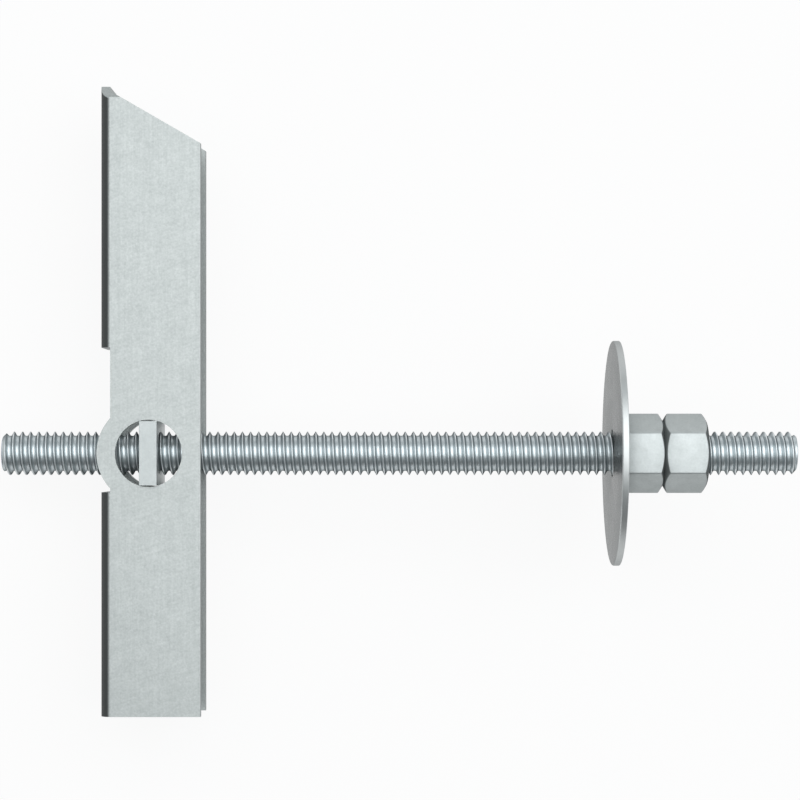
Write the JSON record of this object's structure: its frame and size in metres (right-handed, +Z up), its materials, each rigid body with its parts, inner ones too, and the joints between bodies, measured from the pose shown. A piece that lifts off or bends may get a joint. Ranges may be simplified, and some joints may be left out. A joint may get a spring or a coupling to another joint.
{
  "type": "toggle anchor",
  "caption": "Folded sheet-metal toggle bar that swings on a tapped cross plate along a threaded rod, with a large washer, a clamping nut and a lock nut on the room side.",
  "frame": {"origin": "on the floor, under the middle of the anchor as it lies on the rod's tail and the washer's rim", "axes": "+X along the rod towards its stud end, +Y along the bar's long arm, +Z up"},
  "size_m": [0.1452, 0.1148, 0.0411],
  "materials": {
    "rod_zinc": "bright zinc plating on a rolled thread",
    "plate_zinc": "bright zinc plating",
    "sheet_zinc": "satin zinc plating with faint mottling",
    "washer_zinc": "satin zinc plating",
    "nut_zinc": "satin zinc plating"
  },
  "bodies": {
    "rod": {"threaded_rod": "rod_zinc"},
    "plate": {"cross_nut": "plate_zinc"},
    "bar": {"toggle_bar": "sheet_zinc"},
    "disc": {"washer": "washer_zinc"},
    "clamp": {"clamp_nut": "nut_zinc"},
    "lock": {"lock_nut": "nut_zinc"}
  },
  "joints": [
    {"name": "cross_nut_travel", "type": "slide", "parent": "rod", "child": "plate", "axis": [0.9889, 0, 0.1484], "range_m": [-0.024, 0.006]},
    {"name": "bar_tilt", "type": "hinge", "parent": "plate", "child": "bar", "pos_m": [-0.0451, -0.00948, 0.00788], "axis": [-0.1484, 0, 0.9889], "range_deg": [-17.5, 54]},
    {"name": "washer_travel", "type": "slide", "parent": "rod", "child": "disc", "axis": [0.9889, 0, 0.1484], "range_m": [-0.0301, 0.0001]},
    {"name": "clamp_nut_turn", "type": "hinge", "parent": "disc", "child": "clamp", "pos_m": [0.0399, -0.00948, 0.02063], "axis": [0.9889, 0, 0.1484], "range_deg": [-7200, 0]},
    {"name": "lock_nut_travel", "type": "slide", "parent": "rod", "child": "lock", "axis": [0.9889, 0, 0.1484], "range_m": [0, 0.0165]}
  ],
  "couplings": [
    {"joint": "washer_travel", "follows": "clamp_nut_turn", "m_per_rad": 0.00023873}
  ]
}
